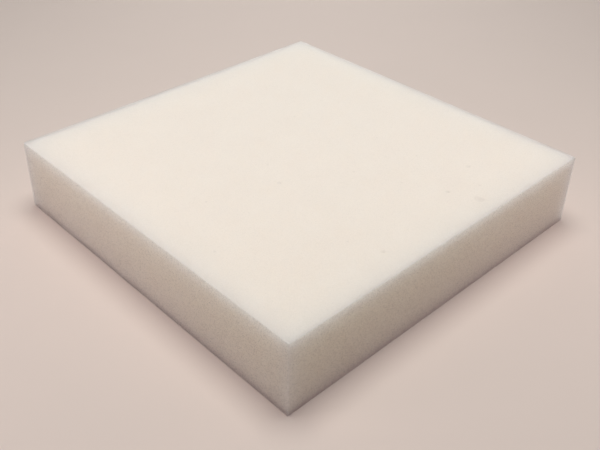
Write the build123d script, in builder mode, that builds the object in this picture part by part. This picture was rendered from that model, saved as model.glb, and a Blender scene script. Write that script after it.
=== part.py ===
from build123d import *
import os

# A square block of open-cell foam, cut from a larger bun with a straight knife
# Millimetres, +Z up, origin in the middle of the underside, with the cut sides parallel to X and Y

# The block
width = 457.2  # along X
depth = 457.2  # along Y
thickness = 88.9  # along Z
edge_softness = 0.8  # radius that the knife leaves on an edge, about one cell

# Bubbles in the foam that the knife opened: the width of the mouth and how deep it goes
blowhole_mouth = 8.6
blowhole_depth = 1.5
pinhole_mouth = 4.2
pinhole_depth = 1.2
prick_mouth = 2.4
prick_depth = 0.8

# Where they lie on the top, from its middle, as shares of half the width and half the depth
blowhole_places = [
    (0.32, -0.90),
]
pinhole_places = [
    (0.26, -0.76),
    (-0.32, -0.86),
    (0.52, -0.69),
    (-0.28, -0.17),
]
prick_places = [
    (-0.38, -0.71),
    (0.24, 0.27),
    (-0.85, -0.38),
    (0.41, -0.45),
    (0.42, -0.83),
    (0.06, -0.34),
    (-0.21, -0.01),
    (0.40, -0.19),
    (0.16, -0.56),
    (-0.64, -0.06),
]


def bubble_radius(mouth, depth_below_face):
    """Radius of the ball whose cap has this mouth and this depth."""
    half_mouth = mouth / 2
    return (half_mouth**2 + depth_below_face**2) / (2 * depth_below_face)


def open_bubbles(places, mouth, depth_below_face):
    """Cut one kind of opened bubble into the top of the part that is being built."""
    radius = bubble_radius(mouth, depth_below_face)
    centre_height = thickness - depth_below_face + radius
    centres = [(x * width / 2, y * depth / 2, centre_height) for x, y in places]
    with Locations(*centres):
        Sphere(radius=radius, mode=Mode.SUBTRACT)


with BuildPart() as foam_block:
    with BuildSketch(Plane.XY):
        Rectangle(width, depth)
    extrude(amount=thickness)
    fillet(foam_block.edges(), radius=edge_softness)
    open_bubbles(blowhole_places, blowhole_mouth, blowhole_depth)
    open_bubbles(pinhole_places, pinhole_mouth, pinhole_depth)
    open_bubbles(prick_places, prick_mouth, prick_depth)

foam_block.part.label = "foam_block"
os.makedirs("parts", exist_ok=True)
export_step(foam_block.part, "parts/foam_block.step")
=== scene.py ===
import math

import bmesh
import bpy
from mathutils import Matrix, Vector, noise


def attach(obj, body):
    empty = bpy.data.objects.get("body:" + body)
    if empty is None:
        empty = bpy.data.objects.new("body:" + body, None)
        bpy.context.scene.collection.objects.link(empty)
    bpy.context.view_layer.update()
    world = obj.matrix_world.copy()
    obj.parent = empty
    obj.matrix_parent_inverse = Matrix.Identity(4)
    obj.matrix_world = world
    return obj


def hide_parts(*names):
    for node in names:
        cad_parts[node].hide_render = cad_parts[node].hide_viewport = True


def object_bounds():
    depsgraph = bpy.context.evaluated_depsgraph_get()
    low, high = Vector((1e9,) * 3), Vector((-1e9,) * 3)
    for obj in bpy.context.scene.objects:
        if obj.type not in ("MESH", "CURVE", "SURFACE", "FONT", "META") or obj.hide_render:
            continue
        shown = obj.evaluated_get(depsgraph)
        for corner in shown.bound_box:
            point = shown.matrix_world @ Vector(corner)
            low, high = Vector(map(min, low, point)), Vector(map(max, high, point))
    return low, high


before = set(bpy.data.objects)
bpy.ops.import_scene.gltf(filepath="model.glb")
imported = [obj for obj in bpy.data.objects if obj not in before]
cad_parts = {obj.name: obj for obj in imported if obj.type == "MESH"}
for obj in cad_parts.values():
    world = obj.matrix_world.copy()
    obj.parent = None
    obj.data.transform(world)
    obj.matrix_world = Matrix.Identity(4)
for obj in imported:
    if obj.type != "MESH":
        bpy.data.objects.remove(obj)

# A square slab of cream-white open-cell foam on a pale floor, in metres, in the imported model's frame
cad_low, cad_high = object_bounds()
MM = 0.001
SCENE = bpy.context.scene

# The camera of the photograph, with its azimuth measured from +X
IMAGE_WIDTH = 600
IMAGE_HEIGHT = 450
CAMERA_TARGET = Vector((12.6, 47.0, 0.0)) * MM
CAMERA_AZIMUTH = math.radians(227.01)
CAMERA_ELEVATION = math.radians(33.42)
CAMERA_ROLL = math.radians(0.50)
CAMERA_DISTANCE = 1043.0 * MM
FOCAL_PIXELS = 818.7
PRINCIPAL_X = 277.0
PRINCIPAL_Y = 192.9
SENSOR_WIDTH = 36.0

# The block's edges and surface
EDGE_RADIUS = 0.8 * MM
EDGE_STEPS = 3  # steps of each half of a rounded edge
EDGE_MARGIN = 0.6 * MM  # from the rounded edge to the first grid line beside it
GRID_STEP = 4.8 * MM
WAVE_LENGTH = 70 * MM  # of the faint unevenness of the cut faces
WAVE_HEIGHT = 0.12 * MM

# Bubbles opened by the knife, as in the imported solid: each kind's mouth and depth, and where they lie on the
# top, as shares of half the width and half the depth from its middle
BLOWHOLE = (8.6 * MM, 1.5 * MM)
BLOWHOLE_PLACES = [
    (0.32, -0.90),
]
PINHOLE = (4.2 * MM, 1.2 * MM)
PINHOLE_PLACES = [
    (0.26, -0.76),
    (-0.32, -0.86),
    (0.52, -0.69),
    (-0.28, -0.17),
]
PRICK = (2.4 * MM, 0.8 * MM)
PRICK_PLACES = [
    (-0.38, -0.71),
    (0.24, 0.27),
    (-0.85, -0.38),
    (0.41, -0.45),
    (0.42, -0.83),
    (0.06, -0.34),
    (-0.21, -0.01),
    (0.40, -0.19),
    (0.16, -0.56),
    (-0.64, -0.06),
]
BUBBLES = [(BLOWHOLE, BLOWHOLE_PLACES), (PINHOLE, PINHOLE_PLACES), (PRICK, PRICK_PLACES)]
DEEPEST = BLOWHOLE[1]
BUBBLE_ROUNDS = 4  # times that the grid is halved round a bubble
BUBBLE_REACH = 1.5  # how far the finest grid reaches, in mouth radii
STRAIGHT = math.radians(179)  # a face's corner above this would leave a sliver
BUBBLE_RAGGEDNESS = 0.3  # how far the mouth strays from a circle
BUBBLE_BENDS = 0.9  # bends of the ragged mouth in one mouth radius
BUBBLE_SOFTNESS = 1.3  # below 1 the floor is flat and the rim sharp, above 1 the rim is soft
BUBBLE_SHADE_HALO = 1.4  # how far the painted shade round it reaches, in mouth radii
BUBBLE_DEPTH = 0.42  # share of the solid's depth that soft foam shows


def grid_lines(low, high):
    """Grid lines from one cut face to the opposite one: short steps round each edge, even steps between."""
    angles = [math.pi / 4 * (1 - i / EDGE_STEPS) for i in range(EDGE_STEPS + 1)]
    edge = [EDGE_RADIUS * (1 - math.tan(a)) for a in angles] + [EDGE_RADIUS + EDGE_MARGIN]
    first, last = low + edge[-1], high - edge[-1]
    count = round((last - first) / GRID_STEP)
    middle = [first + (last - first) * i / count for i in range(1, count)]
    return [low + e for e in edge] + middle + [high - e for e in reversed(edge)]


def rounded(point):
    """Move a point of the sharp box onto the box with rounded edges."""
    core = Vector(
        min(max(p, low + EDGE_RADIUS), high - EDGE_RADIUS)
        for p, low, high in zip(point, cad_low, cad_high)
    )
    return core + (point - core).normalized() * EDGE_RADIUS


def slab_shell():
    """Closed shell of the slab, made of six grids that share their border points."""
    shell = bmesh.new()
    lines = [grid_lines(low, high) for low, high in zip(cad_low, cad_high)]
    ends = [len(line) - 1 for line in lines]
    points = {}

    def corner(index):
        if index not in points:
            place = Vector(lines[axis][i] for axis, i in enumerate(index))
            points[index] = shell.verts.new(rounded(place))
        return points[index]

    for normal in range(3):
        across, along = (normal + 1) % 3, (normal + 2) % 3
        for side in (0, ends[normal]):
            for i in range(ends[across]):
                for j in range(ends[along]):
                    loop = [(i, j), (i + 1, j), (i + 1, j + 1), (i, j + 1)]
                    if side == 0:
                        loop.reverse()
                    quad = []
                    for a, b in loop:
                        index = [0, 0, 0]
                        index[normal], index[across], index[along] = side, a, b
                        quad.append(corner(tuple(index)))
                    shell.faces.new(quad)
    return shell


def refine(shell, centre, reach):
    """Halve the grid round one point a few times, nearer to it each time."""
    for step in range(BUBBLE_ROUNDS):
        near = reach * (BUBBLE_ROUNDS - step) + GRID_STEP / 2 ** (step + 1)
        faces = [f for f in shell.faces if (f.calc_center_median() - centre).length < near]
        edges = {e for f in faces for e in f.edges}
        bmesh.ops.subdivide_edges(shell, edges=list(edges), cuts=1, use_grid_fill=True)


def fan_out(shell):
    """Split each face with a straight corner, between finer and coarser grid, from its middle outwards."""
    faces = [f for f in shell.faces if any(corner.calc_angle() > STRAIGHT for corner in f.loops)]
    bmesh.ops.poke(shell, faces=faces)


def open_bubble(shell, hollow_painted_shade, centre, mouth, depth):
    """Press one opened bubble with a ragged mouth into the top, and note how much painted shade each point in
    and round it gets.
    """
    half_mouth = mouth / 2
    for v in shell.verts:
        offset = v.co - centre
        if offset.length < mouth:
            stray = noise.noise(v.co / half_mouth * BUBBLE_BENDS) * BUBBLE_RAGGEDNESS
            share = offset.length / half_mouth * (1 + stray)
            # painted shade in and round the mouth, more for a deeper bubble
            if share < BUBBLE_SHADE_HALO:
                v[hollow_painted_shade] = depth / DEEPEST * (1 - (share / BUBBLE_SHADE_HALO) ** 2)
            if share < 1:
                v.co.z -= depth * BUBBLE_DEPTH * (1 - share**2) ** BUBBLE_SOFTNESS


def wave(shell):
    """Give the cut faces the faint unevenness that a soft slab keeps, but leave the underside flat."""
    shell.normal_update()
    height = cad_high.z - cad_low.z
    for v in shell.verts:
        rise = (v.co.z - cad_low.z) / height
        v.co += v.normal * noise.noise(v.co / WAVE_LENGTH) * WAVE_HEIGHT * rise


def make_block():
    shell = slab_shell()
    half = (cad_high - cad_low) / 2
    # mask of the painted shade in and round the opened bubbles
    hollow_painted_shade = shell.verts.layers.float.new("hollow_painted_shade")
    bubbles = []
    for (mouth, depth), places in BUBBLES:
        for x, y in places:
            centre = Vector((x * half.x, y * half.y, cad_high.z))
            refine(shell, centre, mouth / 2 * BUBBLE_REACH)
            bubbles.append((centre, mouth, depth))
    fan_out(shell)
    for centre, mouth, depth in bubbles:
        open_bubble(shell, hollow_painted_shade, centre, mouth, depth)
    wave(shell)
    mesh = bpy.data.meshes.new("foam_slab")
    shell.to_mesh(mesh)
    shell.free()
    mesh.shade_smooth()
    block = bpy.data.objects.new("foam_slab", mesh)
    SCENE.collection.objects.link(block)
    return block


# The foam: its colour, how far light spreads inside it, and its cells, where each shade is how much darker
# that feature makes the foam's colour; the shade of the cell pits, pores and opened bubbles is painted shade
FOAM_COLOUR = (0.905, 0.80, 0.71)
FOAM_SPREAD = 55 * MM
FOAM_SPREAD_BY_COLOUR = (1.0, 1.0, 1.0)
FOAM_GLOSS = 0.2
CELL_SIZE = 0.9 * MM
CELL_WALL = 0.22  # width of a cell's wall, in cells
CELL_DEPTH = 0.35 * MM
# painted shade in the cell pits
CELL_PAINTED_SHADE = 0.36
MEAN_PIT = 0.35  # how deep a cell is on average, as a share of the deepest
CLUSTER_SIZE = 3.2 * MM  # groups of coarser and finer cells
CLUSTER_SHADE = 0.08
PATCH_SIZE = 45 * MM  # wide, faint unevenness of colour
PATCH_SHADE = 0.03
PORE_SPACING = 7 * MM  # small opened bubbles, at a share of these places only
PORE_SHARE = 0.25
PORE_RADIUS = 1.3 * MM
PORE_DEPTH = 1.5  # in depths of the deepest cell
# painted shade in the small opened bubbles
PORE_PAINTED_SHADE = 0.08
HOLLOW_RIM = 0.45  # how deep the mask says an opened bubble is where its full painted shade begins
# painted shade in and round each opened bubble
HOLLOW_PAINTED_SHADE = 0.055
TOP_GRAIN_AND_SHADE = 0.2  # share of the sides' painted pit and pore shade and their grain that the top shows
SIDE_UPWARD = 0.5  # a face that turns up less than this is a side
TOP_UPWARD = 0.9  # and one that turns up more than this is the top
BUMP_STRENGTH = 0.7
ROUGHNESS = (0.86, 0.98)  # of the walls between the cells, and inside them

# The studio: a pale floor, and each lamp's name, place, width, height, power, colour and spread in degrees
WORLD_LIGHT = 0.02
FLOOR_COLOUR = (0.60, 0.51, 0.45)
FLOOR_ROUGHNESS = 0.9
FLOOR_GLOSS = 0.1
FLOOR_MOTTLE = 0.02
FLOOR_MOTTLE_SIZE = 90 * MM
FLOOR_GLOW = (0.096, 0.078, 0.082)  # faint light of its own, which also fills the shadow at the block's foot
FLOOR_FAR_GLOW = 0.64  # far away, where the lamps don't reach: light of its own, as a share of its colour
FLOOR_LIT = 0.8  # how far the lamps light it well, from the block's middle
FLOOR_UNLIT = 3.6  # from how far they hardly light it
FLOOR_REACH = 20.0  # from the block's middle to each side
LAMPS = [
    ("over", (0.02, 0.02, 2.4), 1.5, 1.5, 51.8, (0.975, 1.0, 0.99), 180),
    ("left", (-0.85, 0.3, 0.42), 0.4, 0.4, 0.44, (1.0, 0.84, 0.86), 100),
    ("right", (0.45, -0.62, 0.32), 0.35, 0.35, 0.185, (1.0, 0.78, 0.79), 100),
    ("behind", (1.1, 1.1, 0.2), 1.2, 0.2, 0.95, (1.0, 1.0, 1.0), 60),
]


class Material:
    """A material and short ways to add nodes to it."""

    def __init__(self, name):
        self.material = bpy.data.materials.new(name)
        self.material.use_nodes = True
        self.nodes = self.material.node_tree.nodes
        self.shader = self.nodes["Principled BSDF"]

    def set(self, **values):
        for name, value in values.items():
            self.shader.inputs[name.replace("_", " ")].default_value = value

    def add(self, kind, values=(), **settings):
        """Add a node: settings are its properties, and values its inputs, numbers or other nodes' outputs."""
        node = self.nodes.new("ShaderNode" + kind)
        for name, value in settings.items():
            setattr(node, name, value)
        for name, value in dict(values).items():
            if isinstance(value, bpy.types.NodeSocket):
                self.material.node_tree.links.new(value, node.inputs[name])
            else:
                node.inputs[name].default_value = value
        return node

    def math(self, operation, *values):
        return self.add("Math", dict(enumerate(values)), operation=operation).outputs[0]

    def steps(self, value, low, high, to_low=0.0, to_high=1.0):
        """A smooth rise of a value from one number to another."""
        limits = {"Value": value, "From Min": low, "From Max": high, "To Min": to_low, "To Max": to_high}
        return self.add("MapRange", limits, interpolation_type="SMOOTHSTEP").outputs["Result"]

    def noise(self, place, size, detail=2.0):
        """Even noise between about -0.5 and 0.5."""
        fac = self.add("TexNoise", {"Vector": place, "Scale": 1 / size, "Detail": detail}).outputs["Fac"]
        return self.math("SUBTRACT", fac, 0.5)

    def cells(self, place, size, feature, output):
        """One output of a foam of round cells of this size."""
        return self.add("TexVoronoi", {"Vector": place, "Scale": 1 / size}, feature=feature).outputs[output]

    def connect(self, output, name):
        self.material.node_tree.links.new(output, self.shader.inputs[name])


def foam_material():
    foam = Material("cream_foam")
    place = foam.add("TexCoord").outputs["Object"]
    upward = foam.add("SeparateXYZ", {0: foam.add("NewGeometry").outputs["Normal"]}).outputs["Z"]
    # 1 on the sides, falling to the top's share on the up-facing top: scales the painted pit and pore shade
    # and the grain
    grain_and_shade = foam.steps(upward, SIDE_UPWARD, TOP_UPWARD, 1.0, TOP_GRAIN_AND_SHADE)
    # the mask of the painted shade of the opened bubbles
    hollow_painted_shade = foam.add("Attribute", attribute_name="hollow_painted_shade").outputs["Fac"]

    # Cells with walls between them, each as deep as chance has it; a deeper pit gets more painted shade
    wall = foam.cells(place, CELL_SIZE, "DISTANCE_TO_EDGE", "Distance")
    chance = foam.add("SeparateColor", {0: foam.cells(place, CELL_SIZE, "F1", "Color")}).outputs["Red"]
    pit = foam.math("MULTIPLY", foam.steps(wall, 0.0, CELL_WALL), chance)

    # A few small opened bubbles between them, which get a painted shade
    distance = foam.cells(place, PORE_SPACING, "F1", "Distance")
    pick = foam.add("SeparateColor", {0: foam.cells(place, PORE_SPACING, "F1", "Color")}).outputs["Green"]
    near = foam.steps(distance, PORE_RADIUS / PORE_SPACING, 0.0)
    pore = foam.math("MULTIPLY", near, foam.math("LESS_THAN", pick, PORE_SHARE))

    # How much darker than its plain colour the foam is painted: painted shade in the pits, pores and opened
    # bubbles, and uneven tone
    # painted shade in the cell pits, even on average over the face
    dark = foam.math("MULTIPLY", foam.math("SUBTRACT", pit, MEAN_PIT), CELL_PAINTED_SHADE)
    dark = foam.math("MULTIPLY_ADD", foam.noise(place, CLUSTER_SIZE), CLUSTER_SHADE, dark)
    # painted shade in the small opened bubbles
    dark = foam.math("MULTIPLY_ADD", pore, PORE_PAINTED_SHADE, dark)
    dark = foam.math("MULTIPLY", dark, grain_and_shade)
    dark = foam.math("MULTIPLY_ADD", foam.noise(place, PATCH_SIZE), PATCH_SHADE, dark)
    # painted shade in and round the opened bubbles
    dark = foam.math("MULTIPLY_ADD", foam.steps(hollow_painted_shade, 0.0, HOLLOW_RIM), HOLLOW_PAINTED_SHADE, dark)
    light = foam.math("SUBTRACT", 1.0, dark)
    colour = foam.add("VectorMath", {0: FOAM_COLOUR, "Scale": light}, operation="SCALE").outputs[0]
    foam.connect(colour, "Base Color")

    foam.connect(foam.steps(pit, 0.0, 1.0, *ROUGHNESS), "Roughness")
    depth = foam.math("ADD", pit, foam.math("MULTIPLY", pore, PORE_DEPTH))
    relief = {"Height": depth, "Distance": CELL_DEPTH, "Strength": BUMP_STRENGTH}
    foam.connect(foam.add("Bump", relief, invert=True).outputs["Normal"], "Normal")
    foam.set(
        Specular_IOR_Level=FOAM_GLOSS,
        Subsurface_Weight=1.0,
        Subsurface_Radius=FOAM_SPREAD_BY_COLOUR,
        Subsurface_Scale=FOAM_SPREAD,
    )
    return foam.material


def floor_material():
    paper = Material("floor")
    place = paper.add("TexCoord").outputs["Object"]
    light = paper.math("MULTIPLY_ADD", paper.noise(place, FLOOR_MOTTLE_SIZE), FLOOR_MOTTLE, 1.0)
    colour = paper.add("VectorMath", {0: FLOOR_COLOUR, "Scale": light}, operation="SCALE").outputs[0]
    paper.connect(colour, "Base Color")

    # Its own light, which grows where the lamps' light ends
    away = paper.add("VectorMath", {0: place}, operation="LENGTH").outputs["Value"]
    far = paper.steps(away, FLOOR_LIT, FLOOR_UNLIT, 0.0, FLOOR_FAR_GLOW)
    far_glow = paper.add("VectorMath", {0: FLOOR_COLOUR, "Scale": far}, operation="SCALE").outputs[0]
    glow = paper.add("VectorMath", {0: far_glow, 1: FLOOR_GLOW}, operation="ADD").outputs[0]
    paper.connect(glow, "Emission Color")
    paper.set(Roughness=FLOOR_ROUGHNESS, Specular_IOR_Level=FLOOR_GLOSS, Emission_Strength=1.0)
    return paper.material


def make_floor():
    mesh = bpy.data.meshes.new("floor")
    signs = [(-1, -1), (1, -1), (1, 1), (-1, 1)]
    corners = [(x * FLOOR_REACH, y * FLOOR_REACH, 0) for x, y in signs]
    mesh.from_pydata(corners, [], [(0, 1, 2, 3)])
    mesh.materials.append(floor_material())
    floor = bpy.data.objects.new("floor", mesh)
    SCENE.collection.objects.link(floor)


def make_light(name, place, width, height, power, colour, spread):
    data = bpy.data.lights.new(name, "AREA")
    data.shape = "ELLIPSE"
    data.size = width
    data.size_y = height
    data.energy = power
    data.color = colour
    data.spread = math.radians(spread)
    light = bpy.data.objects.new(name, data)
    light.location = place
    light.rotation_mode = "QUATERNION"
    light.rotation_quaternion = (-Vector(place)).to_track_quat("-Z", "Y")
    light.visible_camera = False
    SCENE.collection.objects.link(light)


def make_world(strength):
    world = bpy.data.worlds.new("studio")
    SCENE.world = world
    world.use_nodes = True
    background = world.node_tree.nodes["Background"]
    background.inputs["Color"].default_value = (1, 1, 1, 1)
    background.inputs["Strength"].default_value = strength


def make_camera():
    around, up = CAMERA_AZIMUTH, CAMERA_ELEVATION
    back = Vector((math.cos(up) * math.cos(around), math.cos(up) * math.sin(around), math.sin(up)))
    level = (-back).cross(Vector((0, 0, 1))).normalized()
    upright = level.cross(-back)
    right = math.cos(CAMERA_ROLL) * level + math.sin(CAMERA_ROLL) * upright
    above = math.cos(CAMERA_ROLL) * upright - math.sin(CAMERA_ROLL) * level
    turn = Matrix((right, above, back)).transposed()
    data = bpy.data.cameras.new("camera")
    data.sensor_width = SENSOR_WIDTH
    data.lens = FOCAL_PIXELS / IMAGE_WIDTH * SENSOR_WIDTH
    data.shift_x = (IMAGE_WIDTH / 2 - PRINCIPAL_X) / IMAGE_WIDTH
    data.shift_y = (PRINCIPAL_Y - IMAGE_HEIGHT / 2) / IMAGE_WIDTH
    camera = bpy.data.objects.new("camera", data)
    camera.matrix_world = Matrix.Translation(CAMERA_TARGET + back * CAMERA_DISTANCE) @ turn.to_4x4()
    SCENE.collection.objects.link(camera)
    SCENE.camera = camera


block = make_block()
block.data.materials.append(foam_material())
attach(block, "root")
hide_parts("foam_block")

make_floor()
for lamp in LAMPS:
    make_light(*lamp)
make_world(WORLD_LIGHT)
make_camera()
SCENE.view_settings.view_transform = "Standard"
